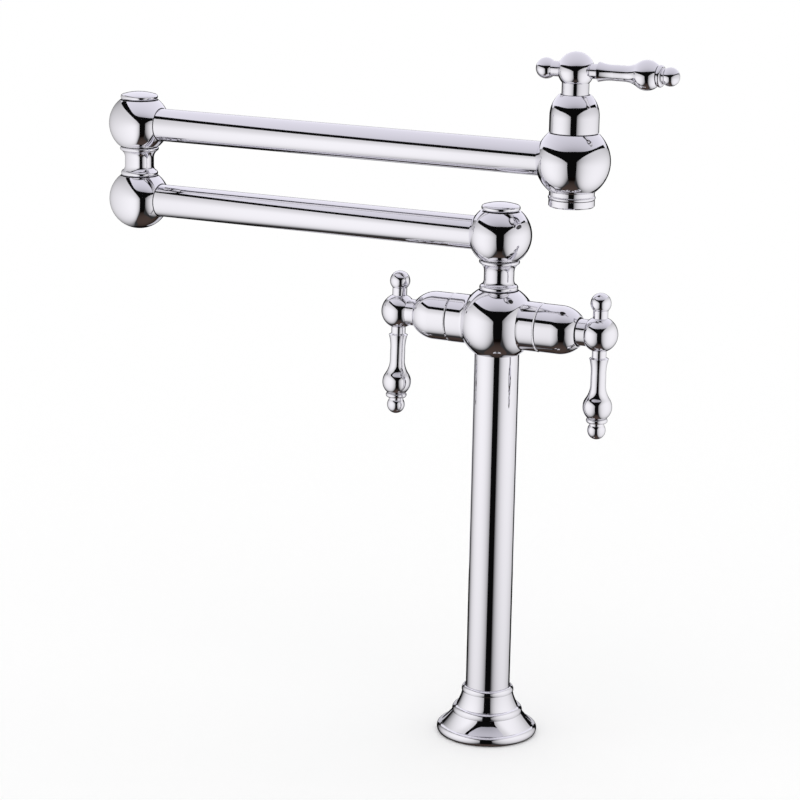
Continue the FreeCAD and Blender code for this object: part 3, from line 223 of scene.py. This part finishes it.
materials = {
    "polished_chrome": polished_chrome(),
    "raw_brass": turned_brass("turned_brass", ring_mm=(30, 30, 0.5)),
    # Drawn copper tube: salmon pink, dulled in patches, with long draw lines
    "copper_tube": worked_surface(
        "drawn_copper", "#CC8662", "#A9623F", metallic=1.0, roughness=(0.2, 0.4),
        mark_mm=(0.6, 0.6, 40), mark_depth_mm=0.006,
    ),
    # Stamped and tumbled stainless steel: a soft grey sheen with no direction
    "steel": worked_surface(
        "tumbled_stainless_steel", "#C6C7C9", "#A8AAAD", metallic=1.0, roughness=(0.25, 0.42),
        mark_mm=(0.4, 0.4, 0.4), mark_depth_mm=0.005,
    ),
    # Moulded nitrile rubber: matt black with a fine moulded grain and a faint bloom
    "black_rubber": worked_surface(
        "moulded_nitrile_rubber", "#1C1C1D", "#282829", metallic=0.0, roughness=(0.6, 0.8),
        mark_mm=(0.5, 0.5, 0.5), mark_depth_mm=0.03,
    ),
    # Lapped alumina: an off-white satin, a little uneven
    "white_ceramic": worked_surface(
        "lapped_alumina", "#EFEBE2", "#E2DDD2", metallic=0.0, roughness=(0.2, 0.34),
        mark_mm=(0.3, 0.3, 0.3), mark_depth_mm=0.003, ior=1.77,
    ),
    # Moulded black acetal: a waxy shine with faint flow marks
    "acetal": worked_surface(
        "moulded_acetal", "#151515", "#1F1F20", metallic=0.0, roughness=(0.3, 0.5),
        mark_mm=(2.0, 0.6, 0.6), mark_depth_mm=0.01, ior=1.48,
    ),
}
brass_across = turned_brass("turned_brass_across", ring_mm=(0.5, 30, 30))
for subpart in frame["record"]["subparts"]:
    name = subpart["node"]
    skin = frame["nodes"][name].data.materials
    skin.clear()
    skin.append(brass_across if name in TURNED_ACROSS else materials[subpart["material_slot"]])


# The tent stands square to the camera: its own axes are right, front and up
sight = CAMERA_PLACE - CAMERA_AIM
front = Vector((sight.x, sight.y, 0)).normalized()
right = Vector((-front.y, front.x, 0))
tent_axes = Matrix((right, front, (0, 0, 1))).transposed().to_4x4()


def tent_piece(name, points, faces, material):
    """A piece of the tent. Only reflections see it, so it doesn't block the plain light."""
    mesh = bpy.data.meshes.new(name)
    mesh.from_pydata(points, [], faces)
    mesh.materials.append(material)
    piece = bpy.data.objects.new(name, mesh)
    bpy.context.scene.collection.objects.link(piece)
    piece.matrix_world = tent_axes
    piece.visible_camera = False
    piece.visible_diffuse = False
    piece.visible_transmission = False
    piece.visible_shadow = False
    return piece


def hanging_cloth(name, line, foot, material):
    """An upright cloth that hangs in a smooth curve along a line, down to its foot."""
    points = []
    faces = []
    for r, f, top in line:
        points += [(r, f, foot), (r, f, (foot + top) / 2), (r, f, top)]
    for i in range(len(line) - 1):
        for row in (0, 1):
            a = 3 * i + row
            faces.append((a, a + 3, a + 4, a + 1))
    drape = tent_piece(name, points, faces, material).modifiers.new("drape", "SUBSURF")
    drape.levels = DRAPE_LEVELS
    drape.render_levels = DRAPE_LEVELS
    drape.boundary_smooth = "PRESERVE_CORNERS"


def bowed(share):
    """How far out a point of a circle lies along one axis, once it is pushed towards a square."""
    return math.copysign(abs(share) ** (2 / ROOF_SQUARENESS), share)


def sloping_roof(material):
    """The flat roof, which reaches further back than forward and slopes down to the back."""
    edge = []
    for i in range(ROOF_CORNERS):
        turn = 2 * math.pi * i / ROOF_CORNERS
        along = math.cos(turn)
        r = ROOF_HALF_WIDTH * bowed(math.sin(turn)) + ROOF_SHIFT
        f = (ROOF_FRONT if along > 0 else ROOF_BACK) * bowed(along)
        edge.append((r, f, ROOF_HEIGHT + ROOF_SLOPE * f))
    tent_piece("roof", edge, [list(range(ROOF_CORNERS))], material)


def side_tent(side, wall, roof_start, width, wall_material, roof_material):
    """A small tent outside a wall: an outer wall, and a low roof between the two. The tent's own
    wall hides it from whatever stands inside."""
    outer = [(r + width, f, top + SIDE_TENT_RISE) for r, f, top in wall]
    hanging_cloth("outer_" + side + "_wall", outer, TENT_FOOT, wall_material)
    inner_edge = [(r, f, top - SIDE_ROOF_DROP) for r, f, top in wall[roof_start:]]
    count = len(inner_edge)
    faces = [(i, i + 1, count + i + 1, count + i) for i in range(count - 1)]
    tent_piece(side + "_roof", inner_edge + outer[roof_start:], faces, roof_material)


def dark_room(lining, carpet):
    """The room that the tent stands in: four walls and a ceiling, and a carpet on the floor."""
    half = ROOM_HALF_SIZE
    corners = [(x, y, z) for z in (TENT_FOOT, half) for y in (-half, half) for x in (-half, half)]
    walls = [(0, 1, 5, 4), (1, 3, 7, 5), (3, 2, 6, 7), (2, 0, 4, 6)]
    ceiling = (4, 5, 7, 6)
    tent_piece("dark_room", corners, walls + [ceiling], lining)
    tent_piece("room_floor", corners[:4], [(0, 1, 3, 2)], carpet)


def lit_cloth(name, colour, centre, reach, middle, edge, dusk=NO_DUSK):
    """Thin cloth with a lamp behind it: it glows most at its centre, and less out to its reach."""
    material = new_material(name)
    material.cycles.emission_sampling = "NONE"
    tree = material.node_tree
    place = add_node(tree, "ShaderNodeTexCoord").outputs["Object"]
    offset = add_node(tree, "ShaderNodeVectorMath", {0: place, 1: centre}, operation="SUBTRACT")
    share = add_node(tree, "ShaderNodeVectorMath", {0: offset.outputs[0], 1: reach}, operation="DIVIDE")
    fade = add_node(tree, "ShaderNodeVectorMath", {
        0: share.outputs[0], 1: share.outputs[0],
    }, operation="DOT_PRODUCT")
    glow = add_node(tree, "ShaderNodeMapRange", {
        "Value": fade.outputs["Value"], "To Min": middle, "To Max": edge,
    })
    height = add_node(tree, "ShaderNodeSeparateXYZ", {"Vector": place})
    left_over = add_node(tree, "ShaderNodeMapRange", {
        "Value": height.outputs["Z"], "From Min": dusk[0], "From Max": dusk[1],
        "To Min": 1.0, "To Max": dusk[2],
    }, interpolation_type="SMOOTHSTEP")
    strength = add_node(tree, "ShaderNodeMath", {
        0: glow.outputs["Result"], 1: left_over.outputs["Result"],
    }, operation="MULTIPLY")
    finish_with(tree, add_node(tree, "ShaderNodeEmission", {
        "Color": linear(colour), "Strength": strength.outputs["Value"],
    }))
    return material


left_cloth = lit_cloth(
    "lit_left_cloth", "#FEFDFF", centre=(0, 0.12, 0.27), reach=(WIDE, 0.61, 0.90),
    middle=1.19, edge=0.04, dusk=WALL_DUSK,
)
right_cloth = lit_cloth(
    "lit_right_cloth", "#FEFDFF", centre=(0, 0.08, 0.27), reach=(WIDE, 0.57, 0.82),
    middle=1.15, edge=0.04, dusk=WALL_DUSK,
)
roof_cloth = lit_cloth(
    "lit_lavender_cloth", "#F6F4FE", centre=(0, -ROOF_BACK, 0), reach=(WIDE, 1.15, WIDE),
    middle=1.17, edge=0.45,
)
back_cloth = lit_cloth(
    "lit_back_cloth", "#F8F7FE", centre=(0, 0, 1.0), reach=(WIDE, WIDE, 1.0),
    middle=1.05, edge=0.6,
)
grey_card = lit_cloth(
    "grey_card", "#F8F7FE", centre=(0, 0, 0.08), reach=(WIDE, WIDE, 0.2),
    middle=0.7, edge=0.4,
)
dark_lining = lit_cloth(
    "dark_lining", "#FFFFFF", centre=(0, 0, 0), reach=(WIDE, WIDE, WIDE),
    middle=UNLIT, edge=UNLIT,
)
dim_carpet = lit_cloth(
    "dim_brown_carpet", "#FFDACA", centre=(0, -0.1, TENT_FOOT), reach=(1.2, 1.06, WIDE),
    middle=0.08, edge=UNLIT,
)
hanging_cloth("left_wall", LEFT_WALL, TENT_FOOT, left_cloth)
hanging_cloth("right_wall", RIGHT_WALL, TENT_FOOT, right_cloth)
hanging_cloth("back_cloth", BACK_CLOTH, BACK_CLOTH_FOOT, back_cloth)
hanging_cloth("back_card", BACK_CARD, BACK_CARD_FOOT, grey_card)
side_tent("left", LEFT_WALL, LEFT_ROOF_START, -SIDE_TENT_WIDTH, left_cloth, roof_cloth)
side_tent("right", RIGHT_WALL, RIGHT_ROOF_START, SIDE_TENT_WIDTH, right_cloth, roof_cloth)
sloping_roof(roof_cloth)
dark_room(dark_lining, dim_carpet)


def pale_floor():
    """Matt white paper: no gloss, so it stays even and keeps the object's soft shadow. The chrome
    mirrors the tent's carpet instead of it."""
    material = new_material("white_paper")
    tree = material.node_tree
    finish_with(tree, add_node(tree, "ShaderNodeBsdfPrincipled", {
        "Base Color": linear("#FFFFFF"), "Roughness": 1.0, "Specular IOR Level": 0.0,
    }))
    mesh = bpy.data.meshes.new("floor")
    half = FLOOR_SIZE / 2
    corners = [(-half, -half), (half, -half), (half, half), (-half, half)]
    mesh.from_pydata([(x, y, -FLOOR_DROP) for x, y in corners], [], [(0, 1, 2, 3)])
    mesh.materials.append(material)
    floor = bpy.data.objects.new("floor", mesh)
    bpy.context.scene.collection.objects.link(floor)
    floor.visible_glossy = False


def even_light():
    """White light from all around, at a level at which a colour looks as it is written."""
    world = bpy.data.worlds.new("even_white_light")
    world.use_nodes = True
    tree = world.node_tree
    tree.nodes.clear()
    sky = add_node(tree, "ShaderNodeBackground", {"Color": linear("#FFFFFF"), "Strength": 1.0})
    add_node(tree, "ShaderNodeOutputWorld", {"Surface": sky.outputs["Background"]})
    bpy.context.scene.world = world
    bpy.context.scene.view_settings.view_transform = "Standard"


def aimed_camera():
    """The camera, a little rolled about its line of sight."""
    lens = bpy.data.cameras.new("camera")
    lens.lens = LENS_MM
    lens.sensor_width = SENSOR_MM
    camera = bpy.data.objects.new("camera", lens)
    bpy.context.scene.collection.objects.link(camera)
    camera.location = CAMERA_PLACE
    camera.rotation_mode = "QUATERNION"
    camera.rotation_quaternion = sight.to_track_quat("Z", "Y") @ Quaternion((0, 0, 1), CAMERA_ROLL)
    bpy.context.scene.camera = camera


pale_floor()
even_light()
aimed_camera()
